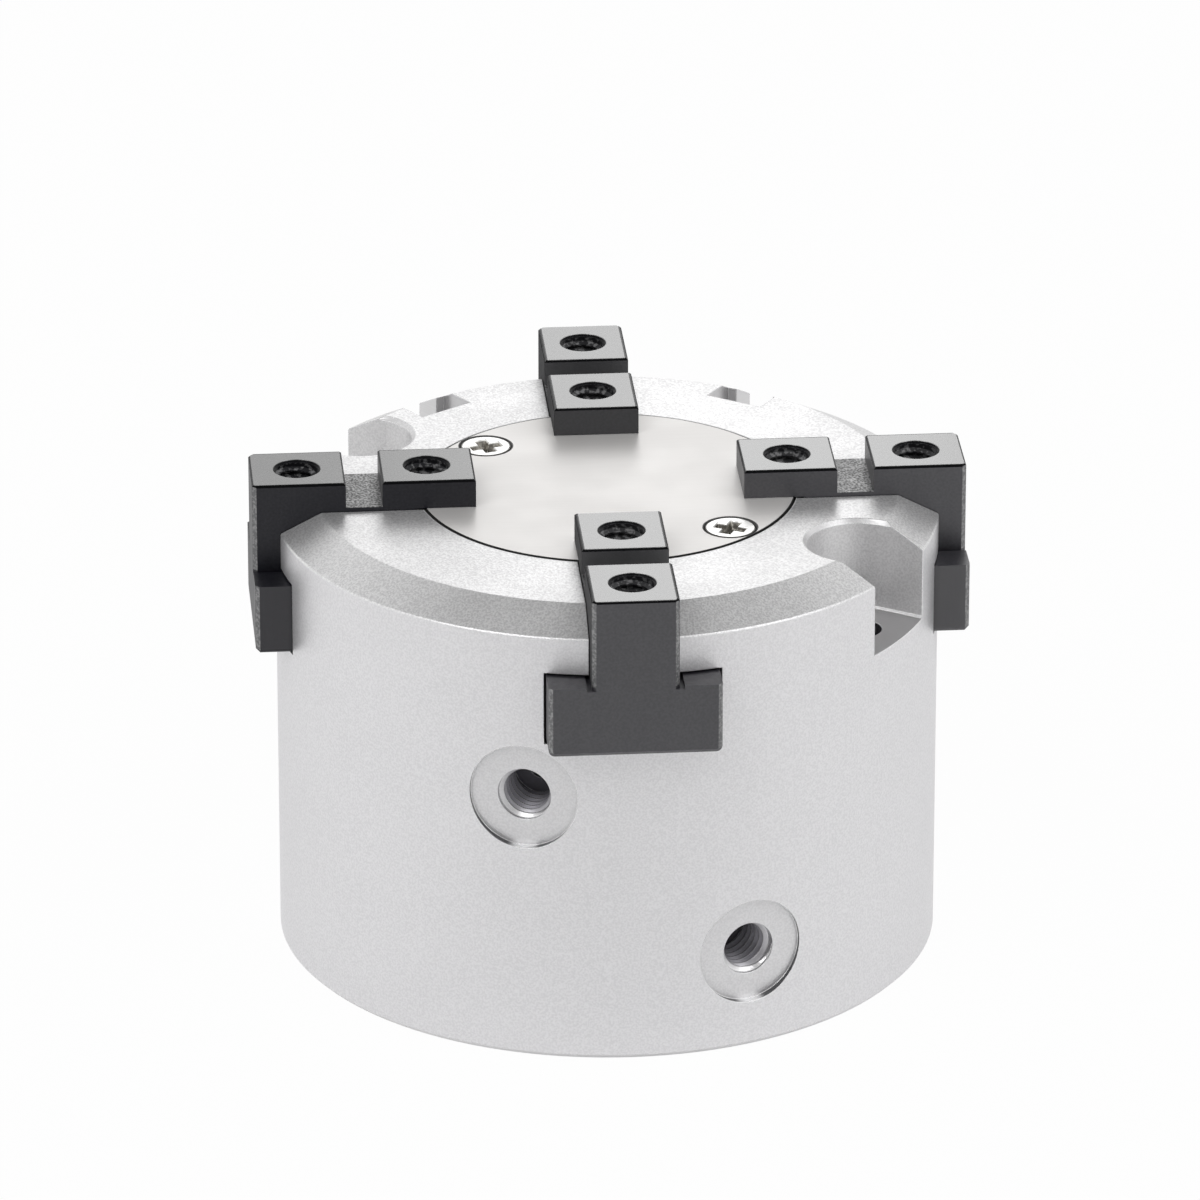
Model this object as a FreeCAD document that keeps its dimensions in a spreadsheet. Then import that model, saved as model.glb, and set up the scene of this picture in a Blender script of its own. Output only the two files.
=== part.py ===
import FreeCAD, Part
import os
import re

import Sketcher

# Four-finger pneumatic gripper, in millimetres. The axis is Z, the foot stands at z = 0, and the
# fingers lie on the X and Y axes, drawn closed: the piston is down and travels up to open them.

SIZES = [
    ("body_radius", 31.0, "housing, outside radius"),
    ("body_height", 44.3, "housing, foot to top face"),
    ("top_bevel_width", 3.8, "bevel round the top face, along the radius"),
    ("top_bevel_height", 2.0, "the same bevel, along the axis"),
    ("edge_break", 0.1, "broken edge between that bevel and the wall"),
    ("foot_bevel", 0.5, "bevel round the foot"),
    ("pilot_radius", 22.5, "locating recess in the foot"),
    ("pilot_depth", 1.5, "depth of that recess"),
    ("bore_radius", 20.0, "cylinder bore"),
    ("cap_bore_radius", 21.5, "wider bore that takes the cap"),
    ("ring_groove_radius", 22.6, "groove for the retaining ring"),
    ("ring_floor", 2.2, "underside of the retaining ring, above the foot"),
    ("ring_thickness", 1.2, "retaining ring"),
    ("ring_width", 2.4, "retaining ring, along the radius"),
    ("ring_gap_angle", 36.0, "opening of the retaining ring"),
    ("ring_lug_radius", 1.9, "rounded lug at each end of the ring"),
    ("ring_eye_radius", 0.9, "plier hole in each lug"),
    ("cap_thickness", 4.0, "cylinder cap"),
    ("cap_boss_radius", 14.0, "stop in the middle of the cap"),
    ("cap_boss_height", 1.1, "height of that stop"),
    ("cap_bevel", 0.6, "bevel round the cap's underside"),
    ("cap_dish_radius", 9.0, "turned dish in the cap's underside"),
    ("cap_dish_depth", 0.5, "depth of that dish"),
    ("gasket_groove_width", 2.0, "O-ring groove round the cap"),
    ("gasket_groove_depth", 1.5, "depth of that groove"),
    ("partition_thickness", 3.4, "wall between the cylinder and the cam chamber"),
    ("rod_seal_width", 1.8, "seal in the partition, along the axis"),
    ("rod_seal_depth", 2.2, "seal in the partition, along the radius"),
    ("chamber_radius", 12.5, "cam chamber"),
    ("plate_radius", 17.6, "end plate"),
    ("plate_thickness", 1.5, "end plate"),
    ("screw_circle", 15.0, "end plate screws, distance from the axis"),
    ("screw_turn", -45.0, "direction of the front screw"),
    ("screw_radius", 1.5, "end plate screw, thread"),
    ("screw_head_radius", 2.45, "end plate screw, countersunk head"),
    ("screw_length", 8.0, "end plate screw, overall"),
    ("slot_depth", 12.55, "finger slot, from the top face to its floor"),
    ("bar_width", 15.85, "finger's T-bar"),
    ("bar_height", 6.8, "finger's T-bar"),
    ("finger_width", 8.0, "finger's stem and pads"),
    ("finger_overhang", 2.3, "outer end of a closed finger beyond the housing"),
    ("finger_stroke", 4.0, "travel of one finger"),
    ("pad_inner", 12.5, "inner end of a closed finger's pads, from the axis"),
    ("pad_length", 8.7, "each of the two pads"),
    ("pad_rise", 2.8, "top of the pads above the top face"),
    ("pad_lift", 0.1, "underside of the pads above the top face"),
    ("saddle_rise", 0.4, "floor between the pads above the top face"),
    ("finger_bevel", 0.4, "bevel on the finger's outer upright edges"),
    ("pad_bevel", 0.2, "bevel round the tops of the pads"),
    ("bar_round", 0.6, "rounding under the T-bar"),
    ("relief_width", 0.45, "undercut beside the stem"),
    ("relief_depth", 0.35, "depth of that undercut"),
    ("pad_thread_radius", 2.0, "threaded holes in the pads"),
    ("pad_mouth", 0.25, "bevel at their mouths"),
    ("pad_thread_depth", 8.0, "outer pad's blind hole"),
    ("key_width", 6.0, "head of the finger's T-key"),
    ("key_thickness", 2.8, "the same head, along the radius"),
    ("key_neck", 3.6, "neck of the T-key"),
    ("key_height", 8.4, "T-key, from the underside of the T-bar"),
    ("key_edge", 0.4, "T-key's outer face beyond the cam, at the T-bar's underside"),
    ("wedge_slope", 0.8, "finger travel for each millimetre of piston travel"),
    ("port_turn_upper", 19.0, "upper air port, to the left of the front finger"),
    ("port_turn_lower", 21.0, "lower air port, to its right"),
    ("port_low", 9.65, "lower port above the foot"),
    ("port_drop", 1.1, "upper port below the cylinder's end"),
    ("port_spot_radius", 5.1, "spot face"),
    ("port_spot_depth", 0.75, "spot face, below the housing's wall"),
    ("port_thread_radius", 2.5, "port thread"),
    ("port_thread_depth", 6.0, "port thread"),
    ("port_mouth", 0.05, "bevel at the port's mouth"),
    ("port_passage", 1.0, "radius of the air way into the cylinder"),
    ("mount_circle", 26.5, "mounting holes, distance from the axis"),
    ("mount_turn", -33.0, "direction of the front mounting hole"),
    ("mount_radius", 2.15, "through hole"),
    ("mount_thread_radius", 2.5, "thread in the foot"),
    ("mount_thread_depth", 10.0, "thread in the foot"),
    ("pocket_half", 4.85, "screw pocket, half its width"),
    ("pocket_depth", 8.9, "screw pocket, below the top face"),
    ("pocket_rim", 0.4, "bevel round the screw pocket's upper edge"),
    ("dowel_radius", 1.5, "dowel hole in the foot"),
    ("dowel_depth", 3.5, "dowel hole in the foot"),
    ("switch_turn", 34.5, "switch grooves, to either side of the back finger"),
    ("switch_depth", 6.8, "switch groove, below the housing's wall"),
    ("switch_half", 2.9, "switch groove, half its inner width"),
    ("switch_lips", 2.7, "thickness of the lips over the groove"),
    ("switch_mouth", 2.0, "half the opening between the lips"),
    ("rod_radius", 6.0, "piston rod"),
    ("rod_seat", 1.0, "depth of the rod's seats in piston and cam"),
    ("piston_foot_relief", 2.0, "narrow lower end of the piston"),
    ("piston_head_relief", 1.0, "narrow upper end of the piston"),
    ("piston_relief_radius", 18.0, "radius of both narrow ends"),
    ("wear_ring_width", 2.0, "guide ring, along the axis"),
    ("wear_ring_depth", 1.2, "guide ring's groove"),
    ("piston_seal_width", 2.4, "piston seal, along the axis"),
    ("piston_seal_depth", 2.6, "piston seal's groove"),
    ("magnet_width", 2.0, "ring magnet, along the axis"),
    ("magnet_depth", 3.2, "ring magnet's groove"),
    ("bolt_radius", 2.5, "piston bolt, thread"),
    ("bolt_head_radius", 4.25, "piston bolt, head"),
    ("bolt_head_height", 5.0, "piston bolt, head"),
    ("bolt_engagement", 4.5, "bolt's thread in the cam"),
    ("cam_roof", 1.0, "cam above the bolt's tip"),
    ("socket_width", 4.0, "hexagon socket, across flats"),
    ("socket_depth", 2.5, "hexagon socket"),
    ("washer_thickness", 0.6, "sealing washer under the bolt's head"),
    ("rod_gasket_inner", 3.6, "groove for the ring between rod and piston"),
    ("rod_gasket_outer", 4.9, "outside of that groove"),
    ("rod_gasket_depth", 1.2, "depth of that groove"),
    ("band_bevel", 0.2, "bevel on the edges of the rubber rings"),
    ("slide_gap", 0.08, "clearance of the fingers' stems and undersides in their slots"),
    ("bar_gap", 0.2, "clearance beside and above the T-bars"),
    ("key_gap", 0.1, "clearance of the T-keys in the cam"),
    ("run_gap", 0.04, "radial clearance of the rod in the partition"),
    ("skirt_gap", 0.15, "radial clearance of the piston in its bore"),
    ("loose_gap", 0.3, "clearance of faces that only pass each other"),
    ("stop_gap", 0.1, "play at the piston's stops"),
    ("seat_gap", 0.02, "play of fixed pieces in their seats"),
    ("plate_gap", 0.25, "ring gap round the end plate"),
    ("tool_over", 1.0, "how far a cut runs past the surface it leaves"),
]

# Levels above the foot, distances from the axis and lengths that follow from the sizes.
DERIVED = {
    "plate_under": "body_height - plate_thickness",
    "slot_floor": "body_height - slot_depth",
    "bar_floor": "slot_floor + slide_gap",
    "bar_top": "bar_floor + bar_height",
    "cam_thickness": "rod_seat + bolt_engagement + cam_roof",
    "cam_room": "cam_thickness + piston_stroke + 2 * loose_gap",
    "chamber_sink": "plate_thickness + cam_room - slot_depth",
    "chamber_floor": "slot_floor - chamber_sink",
    "bore_top": "chamber_floor - partition_thickness",
    "rod_seal_floor": "bore_top + (partition_thickness - rod_seal_width) / 2",
    "rod_hole_radius": "rod_radius + run_gap",
    "rod_seal_radius": "rod_radius + rod_seal_depth",
    "recess_radius": "plate_radius + plate_gap",
    "finger_reach": "body_radius + finger_overhang",
    "pad_top": "body_height + pad_rise",
    "pad_under": "body_height + pad_lift",
    "saddle_floor": "body_height + saddle_rise",
    "pad_split": "pad_inner + pad_length",
    "pad_outer": "finger_reach - pad_length",
    "pad_hole_inner": "pad_inner + pad_length / 2",
    "pad_hole_outer": "finger_reach - pad_length / 2",
    "cam_radius": "chamber_radius - loose_gap",
    "piston_stroke": "finger_stroke / wedge_slope",
    "cam_floor": "chamber_floor + loose_gap",
    "cam_top": "plate_under - loose_gap - piston_stroke",
    "root_radius": "chamber_radius + loose_gap",
    "key_outer": "cam_radius + key_edge",
    "key_inner": "key_outer - key_thickness",
    "key_top": "bar_floor + key_height",
    "key_lean": "wedge_slope * key_height",
    "cap_floor": "ring_floor + ring_thickness",
    "cap_top": "cap_floor + cap_thickness",
    "boss_top": "cap_top + cap_boss_height",
    "gasket_floor": "cap_floor + (cap_thickness - gasket_groove_width) / 2",
    "cap_radius": "cap_bore_radius - seat_gap",
    "ring_radius": "ring_groove_radius - seat_gap",
    "ring_inner": "ring_radius - ring_width",
    "piston_floor": "boss_top + stop_gap",
    "piston_top": "bore_top - stop_gap - piston_stroke",
    "piston_radius": "bore_radius - skirt_gap",
    "piston_rings": "wear_ring_width + piston_seal_width + magnet_width",
    "piston_land_low": "piston_floor + piston_foot_relief",
    "piston_land_high": "piston_top - piston_head_relief",
    "land": "(piston_land_high - piston_land_low - piston_rings) / 4",
    "wear_ring_floor": "piston_land_low + land",
    "piston_seal_floor": "wear_ring_floor + wear_ring_width + land",
    "magnet_floor": "piston_seal_floor + piston_seal_width + land",
    "bolt_hole_radius": "bolt_radius + stop_gap",
    "bolt_foot": "piston_floor + stop_gap",
    "bolt_neck": "bolt_foot + bolt_head_height",
    "washer_top": "bolt_neck + washer_thickness",
    "counterbore_radius": "bolt_head_radius + loose_gap",
    "rod_foot": "piston_top - rod_seat",
    "rod_head": "cam_floor + rod_seat",
    "bolt_tip": "rod_head + bolt_engagement",
    "port_flat": "body_radius - port_spot_depth",
    "port_high": "bore_top - port_drop",
    "port_thread_end": "port_flat - port_thread_depth",
    "pocket_floor": "body_height - pocket_depth",
    "switch_floor": "body_radius - switch_depth",
    "switch_under": "body_radius - switch_lips",
    "screw_top": "body_height - seat_gap",
    "screw_tip": "screw_top - screw_length",
    "screw_hole_radius": "screw_radius + seat_gap",
    "plate_cone_radius": "screw_head_radius + 3 * seat_gap",
}

doc = FreeCAD.newDocument("FingerGripper")
sheet = doc.addObject("Spreadsheet::Sheet", "Sizes")
for row, (alias, size, meaning) in enumerate(SIZES, start=1):
    sheet.set(f"A{row}", meaning)
    sheet.set(f"B{row}", str(size))
    sheet.setAlias(f"B{row}", alias)
doc.recompute()

ALIASES = {alias for alias, size, meaning in SIZES}
WORD = re.compile(r"[a-z][a-z_]*")


def formula(text):
    """Spell out a size expression: derived names by their own formula, sizes by their cell."""

    def spell(match):
        word = match.group()
        if word in DERIVED:
            return f"({formula(DERIVED[word])})"
        return f"Sizes.{word}" if word in ALIASES else word

    return WORD.sub(spell, text)


def number(text):
    """The present value of a size expression."""
    return float(sheet.evalExpression(formula(text)))


def new_body(label):
    """An empty body that becomes one piece of the gripper."""
    body = doc.addObject("PartDesign::Body", label)
    body.Label = label
    return body


def sketch_on(body, name, plane, turn="0", shift=("0", "0", "0")):
    """An empty sketch on one of the body's own planes, turned about the vertical and shifted."""
    planes = {feature.Role: feature for feature in body.Origin.OriginFeatures}
    vertical = FreeCAD.Vector(0, 0, 1) if plane == "XY_Plane" else FreeCAD.Vector(0, 1, 0)
    sketch = body.newObject("Sketcher::SketchObject", name)
    sketch.AttachmentSupport = (planes[plane], [""])
    sketch.MapMode = "FlatFace"
    turned = FreeCAD.Rotation(vertical, number(turn))
    sketch.AttachmentOffset = FreeCAD.Placement(FreeCAD.Vector(), turned)
    sketch.setExpression("AttachmentOffset.Rotation.Angle", formula(turn))
    for axis, distance in zip("xyz", shift):
        sketch.setExpression(f"AttachmentOffset.Base.{axis}", formula(distance))
    return sketch


def pin(sketch, element, point, x, y):
    """Tie one point of a sketch to size expressions for its two coordinates."""
    for direction, text in (("DistanceX", x), ("DistanceY", y)):
        rule = Sketcher.Constraint(direction, -1, 1, element, point, number(text))
        index = sketch.addConstraint(rule)
        sketch.setExpression(f"Constraints[{index}]", formula(text))


def polygon(sketch, corners):
    """A closed outline of straight lines through the corners."""
    places = [FreeCAD.Vector(number(x), number(y), 0) for x, y in corners]
    first = sketch.GeometryCount
    for start, end in zip(places, places[1:] + places[:1]):
        sketch.addGeometry(Part.LineSegment(start, end), False)
    for step, (x, y) in enumerate(corners):
        before = first + (step - 1) % len(corners)
        sketch.addConstraint(Sketcher.Constraint("Coincident", before, 2, first + step, 1))
        pin(sketch, first + step, 1, x, y)
    return sketch


def circle(sketch, x, y, radius):
    """A full circle at a place given by size expressions."""
    place = FreeCAD.Vector(number(x), number(y), 0)
    shape = Part.Circle(place, FreeCAD.Vector(0, 0, 1), number(radius))
    element = sketch.addGeometry(shape, False)
    pin(sketch, element, 3, x, y)
    index = sketch.addConstraint(Sketcher.Constraint("Radius", element, number(radius)))
    sketch.setExpression(f"Constraints[{index}]", formula(radius))
    return sketch


def must_change(body, before, grows):
    """Stop if the last feature left the body's volume as it was, or changed it the wrong way."""
    doc.recompute()
    change = body.Shape.Volume - before
    if not body.Tip.isValid() or change == 0 or (change > 0) != grows:
        raise RuntimeError(f"{body.Tip.Name} of {body.Label} changed the volume by {change}")


def feature(body, kind, sketch, grows, **settings):
    """One sketch-based feature; settings that are text are size expressions."""
    before = 0.0 if body.Shape.isNull() else body.Shape.Volume
    made = body.newObject(f"PartDesign::{kind}", f"{sketch.Name}_{kind}")
    made.Profile = sketch
    for name, setting in settings.items():
        if name in ("Length", "Angle"):
            made.setExpression(name, formula(setting))
        else:
            setattr(made, name, setting)
    must_change(body, before, grows)
    return made


def revolve(body, name, corners):
    """Turn a half section, given as radius and height, into a solid round Z."""
    sketch = polygon(sketch_on(body, name, "XZ_Plane"), corners)
    axis = (sketch, ["V_Axis"])
    return feature(body, "Revolution", sketch, True, ReferenceAxis=axis, Angle="360")


def drill(body, sketch, axis="V_Axis"):
    """Turn a half section into a hole round one axis of its own sketch."""
    line = (sketch, [axis])
    return feature(body, "Groove", sketch, False, ReferenceAxis=line, Angle="360")


def pad(body, sketch, length, side="One side"):
    """Raise a sketch into material."""
    return feature(body, "Pad", sketch, True, SideType=side, Length=length)


def pocket(body, sketch, length, side="One side", upwards=True):
    """Sink a sketch into the body, or cut the same length to both sides of it."""
    return feature(
        body, "Pocket", sketch, False, SideType=side, Reversed=upwards, Length=length
    )


def polar(body, originals, count):
    """Repeat features evenly round Z."""
    before = body.Shape.Volume
    axes = {member.Role: member for member in body.Origin.OriginFeatures}
    pattern = body.newObject("PartDesign::PolarPattern", f"{originals[0].Name}_round")
    pattern.Originals = originals
    pattern.Axis = (axes["Z_Axis"], [""])
    pattern.Angle = 360
    pattern.Occurrences = count
    body.Tip = pattern
    must_change(body, before, False)
    return pattern


def edge_names(shape, wanted):
    """Names of a shape's edges whose two ends lie where wanted says."""
    names = []
    for index, edge in enumerate(shape.Edges, start=1):
        ends = [vertex.Point for vertex in edge.Vertexes]
        if len(ends) == 2 and wanted(*ends):
            names.append(f"Edge{index}")
    return names


def dress(body, kind, size_name, size, wanted):
    """Bevel or round the edges that wanted picks."""
    before = body.Shape.Volume
    base = body.Tip
    made = body.newObject(f"PartDesign::{kind}", f"{kind}_{size}")
    made.Base = (base, edge_names(base.Shape, wanted))
    made.setExpression(size_name, formula(size))
    must_change(body, before, False)
    return made


def near(value, text):
    """Whether a coordinate is the one that a size expression gives."""
    return abs(value - number(text)) < Part.Precision.approximation()


def upright_at(radius, turn):
    """Shift of an upright sketch plane that brings its vertical axis to a place round Z."""
    return (f"{radius} * cos({turn})", "0", f"-{radius} * sin({turn})")


# Housing: one turned section holds the outside, the cylinder, the partition and the cam chamber.


def make_body():
    body = new_body("body")
    bevel_foot = "body_height - top_bevel_height"
    bevel_slope = "top_bevel_height / top_bevel_width"
    revolve(
        body,
        "section",
        [
            ("pilot_radius", "0"),
            ("body_radius - foot_bevel", "0"),
            ("body_radius", "foot_bevel"),
            ("body_radius", f"{bevel_foot} - edge_break"),
            ("body_radius - edge_break", f"{bevel_foot} + edge_break * {bevel_slope}"),
            ("body_radius - top_bevel_width", "body_height"),
            ("recess_radius", "body_height"),
            ("recess_radius", "plate_under"),
            ("chamber_radius", "plate_under"),
            ("chamber_radius", "chamber_floor"),
            ("rod_hole_radius", "chamber_floor"),
            ("rod_hole_radius", "rod_seal_floor + rod_seal_width"),
            ("rod_seal_radius", "rod_seal_floor + rod_seal_width"),
            ("rod_seal_radius", "rod_seal_floor"),
            ("rod_hole_radius", "rod_seal_floor"),
            ("rod_hole_radius", "bore_top"),
            ("bore_radius", "bore_top"),
            ("bore_radius", "cap_top"),
            ("cap_bore_radius", "cap_top"),
            ("cap_bore_radius", "cap_floor"),
            ("ring_groove_radius", "cap_floor"),
            ("ring_groove_radius", "ring_floor"),
            ("cap_bore_radius", "ring_floor"),
            ("cap_bore_radius", "pilot_depth"),
            ("pilot_radius", "pilot_depth"),
        ],
    )
    cut_finger_slots(body)
    cut_ports(body)
    cut_mount_holes(body)
    cut_switch_grooves(body)
    cut_plate_screw_holes(body)
    dowel = sketch_on(body, "dowel", "XY_Plane")
    circle(dowel, "mount_circle", "0", "dowel_radius")
    pocket(body, dowel, "dowel_depth")


def cut_finger_slots(body):
    """Two T-slots right across the top, which cross in the cam chamber."""
    bar = "bar_width / 2 + bar_gap"
    stem = "finger_width / 2 + slide_gap"
    step = "bar_top + bar_gap"
    over = "body_height + tool_over"
    for name, plane in (("slot_front_back", "XZ_Plane"), ("slot_left_right", "YZ_Plane")):
        sketch = polygon(
            sketch_on(body, name, plane),
            [
                (f"-({bar})", "slot_floor"),
                (bar, "slot_floor"),
                (bar, step),
                (stem, step),
                (stem, over),
                (f"-({stem})", over),
                (f"-({stem})", step),
                (f"-({bar})", step),
            ],
        )
        pocket(body, sketch, "2 * (body_radius + tool_over)", side="Symmetric")


def cut_ports(body):
    """Spot-faced threaded air ports to either side of the front, each with its air way."""
    for name, turn, height in (
        ("port_upper", "-90 - port_turn_upper", "port_high"),
        ("port_lower", "-90 + port_turn_lower", "port_low"),
    ):
        sketch = polygon(
            sketch_on(body, name, "XZ_Plane", turn, ("0", height, "0")),
            [
                ("bore_radius - tool_over", "0"),
                ("bore_radius - tool_over", "port_passage"),
                ("port_thread_end", "port_passage"),
                ("port_thread_end", "port_thread_radius"),
                ("port_flat - port_mouth", "port_thread_radius"),
                ("port_flat", "port_thread_radius + port_mouth"),
                ("port_flat", "port_spot_radius"),
                ("body_radius + tool_over", "port_spot_radius"),
                ("body_radius + tool_over", "0"),
            ],
        )
        drill(body, sketch, "H_Axis")


def cut_mount_holes(body):
    """Two through holes, threaded from the foot, under screw pockets that open to the side."""
    sketch = polygon(
        sketch_on(
            body, "mount_hole", "XZ_Plane", "mount_turn", upright_at("mount_circle", "mount_turn")
        ),
        [
            ("0", "-tool_over"),
            ("mount_thread_radius", "-tool_over"),
            ("mount_thread_radius", "mount_thread_depth"),
            ("mount_radius", "mount_thread_depth"),
            ("mount_radius", "pocket_floor"),
            ("pocket_half", "pocket_floor"),
            ("pocket_half", "body_height - pocket_rim"),
            ("pocket_half + pocket_rim", "body_height"),
            ("0", "body_height"),
        ],
    )
    hole = drill(body, sketch)
    side = polygon(
        sketch_on(body, "pocket_side", "XY_Plane", "mount_turn", ("0", "0", "pocket_floor")),
        [
            ("mount_circle", "-pocket_half"),
            ("body_radius + tool_over", "-pocket_half"),
            ("body_radius + tool_over", "pocket_half"),
            ("mount_circle", "pocket_half"),
        ],
    )
    opening = pocket(body, side, "pocket_depth + tool_over")
    polar(body, [hole, opening], 2)


def cut_switch_grooves(body):
    """Two lipped grooves down the back, for position switches."""
    for name, turn in (("switch_right", "90 - switch_turn"), ("switch_left", "90 + switch_turn")):
        sketch = polygon(
            sketch_on(body, name, "XY_Plane", turn, ("0", "0", "-tool_over")),
            [
                ("switch_floor", "-switch_half"),
                ("switch_under", "-switch_half"),
                ("switch_under", "-switch_mouth"),
                ("body_radius + tool_over", "-switch_mouth"),
                ("body_radius + tool_over", "switch_mouth"),
                ("switch_under", "switch_mouth"),
                ("switch_under", "switch_half"),
                ("switch_floor", "switch_half"),
            ],
        )
        pocket(body, sketch, "body_height + 2 * tool_over")


def cut_plate_screw_holes(body):
    """Blind holes for the end plate's screws, in the posts between the finger slots."""
    sketch = polygon(
        sketch_on(
            body, "screw_hole", "XZ_Plane", "screw_turn", upright_at("screw_circle", "screw_turn")
        ),
        [
            ("0", "screw_tip - tool_over"),
            ("screw_hole_radius", "screw_tip - tool_over"),
            ("screw_hole_radius", "body_height"),
            ("0", "body_height"),
        ],
    )
    polar(body, [drill(body, sketch)], 2)


# End plate and its two countersunk screws.


def make_end_plate():
    plate = new_body("end_plate")
    disc = sketch_on(plate, "disc", "XY_Plane", "0", ("0", "0", "plate_under"))
    pad(plate, circle(disc, "0", "0", "plate_radius"), "plate_thickness")
    cone_floor = "body_height - plate_cone_radius + screw_hole_radius"
    sketch = polygon(
        sketch_on(
            plate, "countersink", "XZ_Plane", "screw_turn", upright_at("screw_circle", "screw_turn")
        ),
        [
            ("0", "plate_under - tool_over"),
            ("screw_hole_radius", "plate_under - tool_over"),
            ("screw_hole_radius", cone_floor),
            ("plate_cone_radius", "body_height"),
            ("plate_cone_radius", "body_height + tool_over"),
            ("0", "body_height + tool_over"),
        ],
    )
    polar(plate, [drill(plate, sketch)], 2)


def make_end_plate_screws():
    for label, turn in (
        ("end_plate_screw_front", "screw_turn"),
        ("end_plate_screw_rear", "screw_turn + 180"),
    ):
        screw = new_body(label)
        revolve(
            screw,
            "shank",
            [
                ("0", "screw_tip"),
                ("screw_radius", "screw_tip"),
                ("screw_radius", "screw_top - screw_head_radius + screw_radius"),
                ("screw_head_radius", "screw_top"),
                ("0", "screw_top"),
            ],
        )
        screw.setExpression(".Placement.Base.x", formula(f"screw_circle * cos({turn})"))
        screw.setExpression(".Placement.Base.y", formula(f"screw_circle * sin({turn})"))


# Lower end of the cylinder: cap, O-ring and retaining ring.


def make_cylinder_cap():
    cap = new_body("cylinder_cap")
    groove_radius = "cap_radius - gasket_groove_depth"
    revolve(
        cap,
        "section",
        [
            ("0", "cap_floor + cap_dish_depth"),
            ("cap_dish_radius", "cap_floor + cap_dish_depth"),
            ("cap_dish_radius + cap_dish_depth", "cap_floor"),
            ("cap_radius - cap_bevel", "cap_floor"),
            ("cap_radius", "cap_floor + cap_bevel"),
            ("cap_radius", "gasket_floor"),
            (groove_radius, "gasket_floor"),
            (groove_radius, "gasket_floor + gasket_groove_width"),
            ("cap_radius", "gasket_floor + gasket_groove_width"),
            ("cap_radius", "cap_top - seat_gap"),
            ("cap_boss_radius", "cap_top - seat_gap"),
            ("cap_boss_radius", "boss_top"),
            ("0", "boss_top"),
        ],
    )


def make_flat_ring(label, inner, outer, floor, width):
    """A ring of square section between two radii, standing on a level."""
    ring = new_body(label)
    top = f"{floor} + {width}"
    revolve(ring, "section", [(inner, floor), (outer, floor), (outer, top), (inner, top)])


def make_band(label, inner, outer, floor, width):
    """A rubber ring between two radii, standing on a level, with all four edges bevelled."""
    band = new_body(label)
    top = f"{floor} + {width}"
    revolve(
        band,
        "section",
        [
            (f"{inner} + band_bevel", floor),
            (f"{outer} - band_bevel", floor),
            (outer, f"{floor} + band_bevel"),
            (outer, f"{top} - band_bevel"),
            (f"{outer} - band_bevel", top),
            (f"{inner} + band_bevel", top),
            (inner, f"{top} - band_bevel"),
            (inner, f"{floor} + band_bevel"),
        ],
    )


def make_retaining_ring():
    """An open ring with a rounded lug, pierced for pliers, at each of its two ends."""
    ring = new_body("cap_retaining_ring")
    blank = sketch_on(ring, "blank", "XY_Plane", "0", ("0", "0", "ring_floor + seat_gap"))
    circle(blank, "0", "0", "ring_radius")
    circle(blank, "0", "0", "ring_inner")
    thickness = "ring_thickness - 2 * seat_gap"
    pad(ring, blank, thickness)
    reach = "(ring_radius + tool_over)"
    half = "ring_gap_angle / 2"
    level = ("0", "0", "ring_floor")
    opening = polygon(
        sketch_on(ring, "opening", "XY_Plane", "90", level),
        [
            ("0", "0"),
            (reach, f"-{reach} * tan({half})"),
            (reach, f"{reach} * tan({half})"),
        ],
    )
    pocket(ring, opening, "ring_thickness")
    lug_circle = "ring_radius - ring_lug_radius - ring_eye_radius"
    lug_level = ("0", "0", "ring_floor + seat_gap")
    for side in ("left", "right"):
        turn = f"90 + {half}" if side == "left" else f"90 - {half}"
        lug = sketch_on(ring, f"lug_{side}", "XY_Plane", turn, lug_level)
        pad(ring, circle(lug, lug_circle, "0", "ring_lug_radius"), thickness)
        eye = sketch_on(ring, f"eye_{side}", "XY_Plane", turn, level)
        pocket(ring, circle(eye, lug_circle, "0", "ring_eye_radius"), "ring_thickness")


# Piston group: piston with its rings, hollow rod, wedge cam, and the bolt that holds them together.


def make_piston():
    piston = new_body("piston")
    wear_floor = "piston_radius - wear_ring_depth"
    seal_floor = "piston_radius - piston_seal_depth"
    magnet_floor = "piston_radius - magnet_depth"
    revolve(
        piston,
        "section",
        [
            ("bolt_hole_radius", "washer_top"),
            ("counterbore_radius", "washer_top"),
            ("counterbore_radius", "piston_floor"),
            ("piston_relief_radius", "piston_floor"),
            ("piston_relief_radius", "piston_land_low"),
            ("piston_radius", "piston_land_low"),
            ("piston_radius", "wear_ring_floor"),
            (wear_floor, "wear_ring_floor"),
            (wear_floor, "wear_ring_floor + wear_ring_width"),
            ("piston_radius", "wear_ring_floor + wear_ring_width"),
            ("piston_radius", "piston_seal_floor"),
            (seal_floor, "piston_seal_floor"),
            (seal_floor, "piston_seal_floor + piston_seal_width"),
            ("piston_radius", "piston_seal_floor + piston_seal_width"),
            ("piston_radius", "magnet_floor"),
            (magnet_floor, "magnet_floor"),
            (magnet_floor, "magnet_floor + magnet_width"),
            ("piston_radius", "magnet_floor + magnet_width"),
            ("piston_radius", "piston_land_high"),
            ("piston_relief_radius", "piston_land_high"),
            ("piston_relief_radius", "piston_top"),
            ("rod_radius + seat_gap", "piston_top"),
            ("rod_radius + seat_gap", "rod_foot"),
            ("rod_gasket_outer", "rod_foot"),
            ("rod_gasket_outer", "rod_foot - rod_gasket_depth"),
            ("rod_gasket_inner", "rod_foot - rod_gasket_depth"),
            ("rod_gasket_inner", "rod_foot"),
            ("bolt_hole_radius", "rod_foot"),
        ],
    )


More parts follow.
